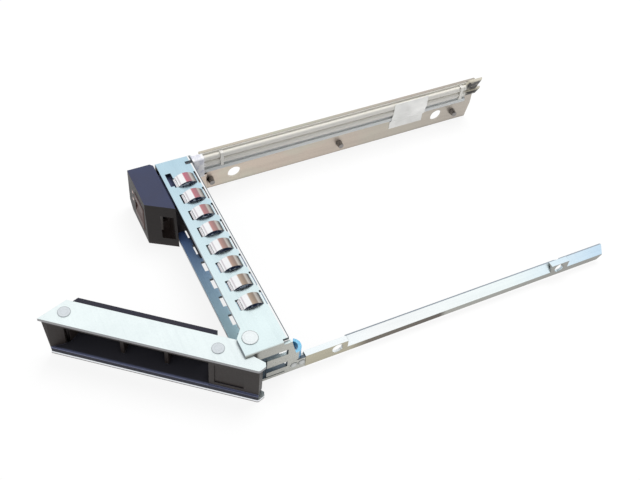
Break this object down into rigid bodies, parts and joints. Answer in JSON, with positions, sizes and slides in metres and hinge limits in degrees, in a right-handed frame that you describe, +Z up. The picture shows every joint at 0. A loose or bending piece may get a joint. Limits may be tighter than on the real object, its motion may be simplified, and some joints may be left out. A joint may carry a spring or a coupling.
{
  "type": "hot swap drive caddy",
  "caption": "Open frame drive caddy: folded steel front, tall and low side rails that screw to the drive, a swinging lever handle and a push button latch.",
  "frame": {"origin": "mid width, in the plane of the chassis front edge, on the plane that the caddy rests on", "axes": "+X across to the side with the handle's pivot, +Y from the front to the rear, +Z up from the rest plane"},
  "size_m": [0.0822, 0.1672, 0.0175],
  "materials": {
    "zinc_steel": "zinc plated, bluish satin sheen",
    "rail_steel": "bare plated steel, warm grey satin",
    "bright_steel": "bright zinc plating, smooth satin",
    "finger_steel": "polished spring steel",
    "rivet_steel": "turned, satin",
    "spring_steel": "drawn wire",
    "clear_plastic": "clear moulding, glossy",
    "frosted_plastic": "clear moulding, lightly frosted",
    "label_paper": "plain paper label, bare",
    "black_plastic": "fine grained, dark",
    "button_plastic": "dark brown, satin",
    "lens_plastic": "clear window, unlit"
  },
  "bodies": {
    "chassis": {"front_chassis": "zinc_steel", "emi_finger_strip": "finger_steel", "far_rail": "rail_steel", "near_rail": "zinc_steel", "near_rail_rivets": "rivet_steel", "far_rail_rivets": "rivet_steel", "locating_studs": "rivet_steel", "light_pipe_upper": "clear_plastic", "light_pipe_lower": "clear_plastic", "light_pipe_carrier": "frosted_plastic", "light_pipe_clip_front": "clear_plastic", "light_pipe_clip_rear": "clear_plastic", "blank_label": "label_paper", "latch_housing": "black_plastic", "button_spring": "spring_steel", "indicator_lens_upper": "lens_plastic", "indicator_lens_lower": "lens_plastic", "pivot_pin": "rivet_steel", "handle_spring": "spring_steel"},
    "handle": {"handle_top_plate": "bright_steel", "handle_bottom_plate": "bright_steel", "handle_insert": "black_plastic", "handle_rivets": "rivet_steel"},
    "button": {"release_button": "button_plastic", "latch_hook": "black_plastic"}
  },
  "joints": [
    {"name": "handle_hinge", "type": "hinge", "parent": "chassis", "child": "handle", "pos_m": [0.033, 0.0013, 0.008], "axis": [0, 0, 1], "range_deg": [-51.1, 0], "stiffness_Nm_per_rad": 0.004},
    {"name": "button_slide", "type": "slide", "parent": "chassis", "child": "button", "axis": [0, 1, 0], "range_m": [0, 0.0018], "stiffness_N_per_m": 400, "deforming": ["button_spring"]}
  ]
}
